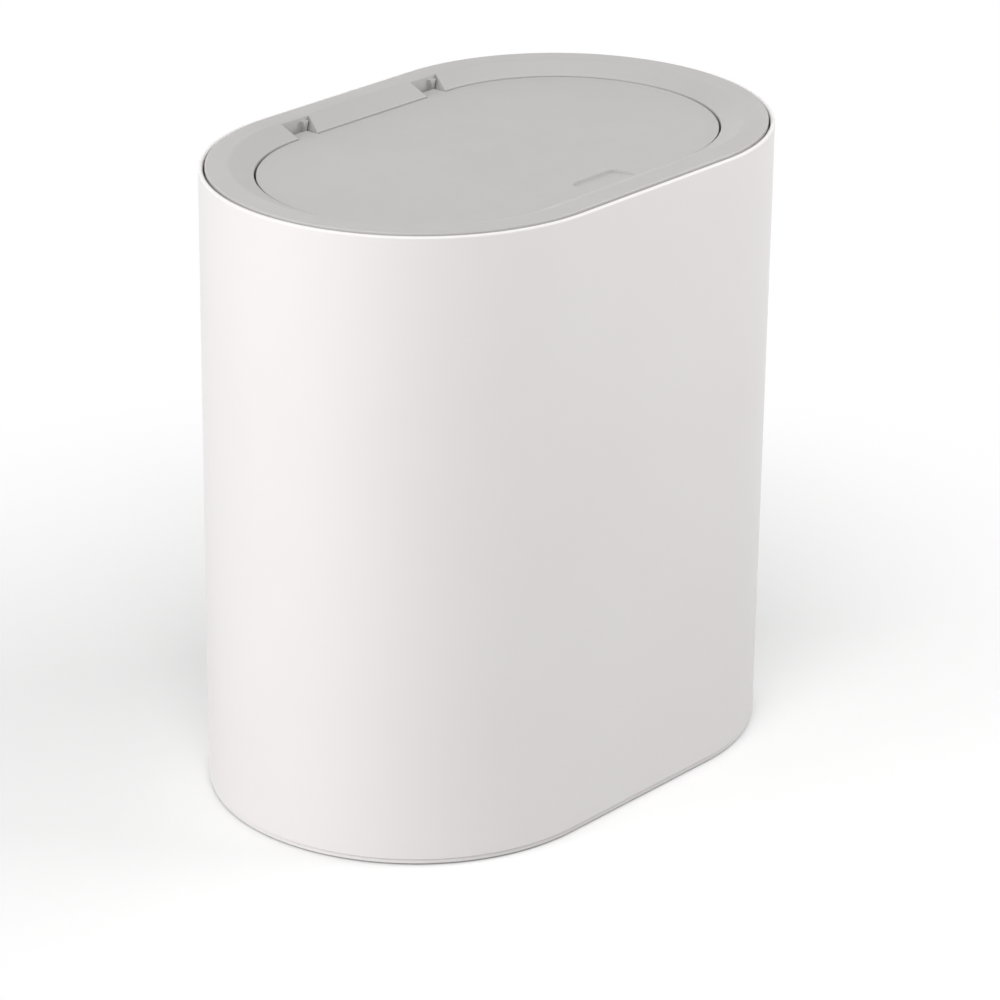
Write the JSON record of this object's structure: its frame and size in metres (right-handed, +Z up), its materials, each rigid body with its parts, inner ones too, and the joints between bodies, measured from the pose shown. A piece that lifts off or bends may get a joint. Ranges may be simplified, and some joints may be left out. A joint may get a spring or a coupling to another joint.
{
  "type": "push top countertop bin",
  "caption": "Stadium-shaped countertop bin: a white barrel with a grey drop-in lid whose hinged flap springs open when its front edge is pressed.",
  "frame": {"origin": "middle of the bin's footprint, on the surface that it stands on", "axes": "+X along the long side, +Y from the press spot towards the hinges, +Z up"},
  "size_m": [0.25, 0.165, 0.255],
  "materials": {
    "barrel": "satin moulded polypropylene",
    "lid": "fine matt moulded polypropylene",
    "latch_parts": "smooth moulded acetal",
    "pins": "drawn wire",
    "springs": "spring wire",
    "screws": "zinc plated",
    "pads": "soft matt"
  },
  "bodies": {
    "barrel": {"outer_barrel": "barrel", "foot_pad_front_left": "pads", "foot_pad_front_right": "pads", "foot_pad_rear_left": "pads", "foot_pad_rear_right": "pads"},
    "lid": {"lid_frame": "lid", "hinge_pin_left": "pins", "hinge_pin_right": "pins", "torsion_spring_left": "springs", "torsion_spring_right": "springs", "latch_housing": "latch_parts", "latch_spring": "springs", "latch_cam_pin": "pins", "latch_screw_left": "screws", "latch_screw_right": "screws"},
    "flap": {"lid_flap": "lid", "latch_striker": "latch_parts", "striker_screw_left": "screws", "striker_screw_right": "screws"},
    "slider": {"latch_slider": "latch_parts"}
  },
  "joints": [
    {"name": "lid_lift", "type": "slide", "parent": "barrel", "child": "lid", "axis": [0, 0, 1], "range_m": [0, 0.06]},
    {"name": "flap_hinge", "type": "hinge", "parent": "lid", "child": "flap", "pos_m": [0, 0.0662, 0.2485], "axis": [-1, 0, 0], "range_deg": [-1, 85], "deforming": ["torsion_spring_left", "torsion_spring_right"]},
    {"name": "latch_slide", "type": "slide", "parent": "lid", "child": "slider", "axis": [0, 0, 1], "range_m": [-0.002, 0.0035], "stiffness_N_per_m": 300, "deforming": ["latch_spring"]}
  ]
}
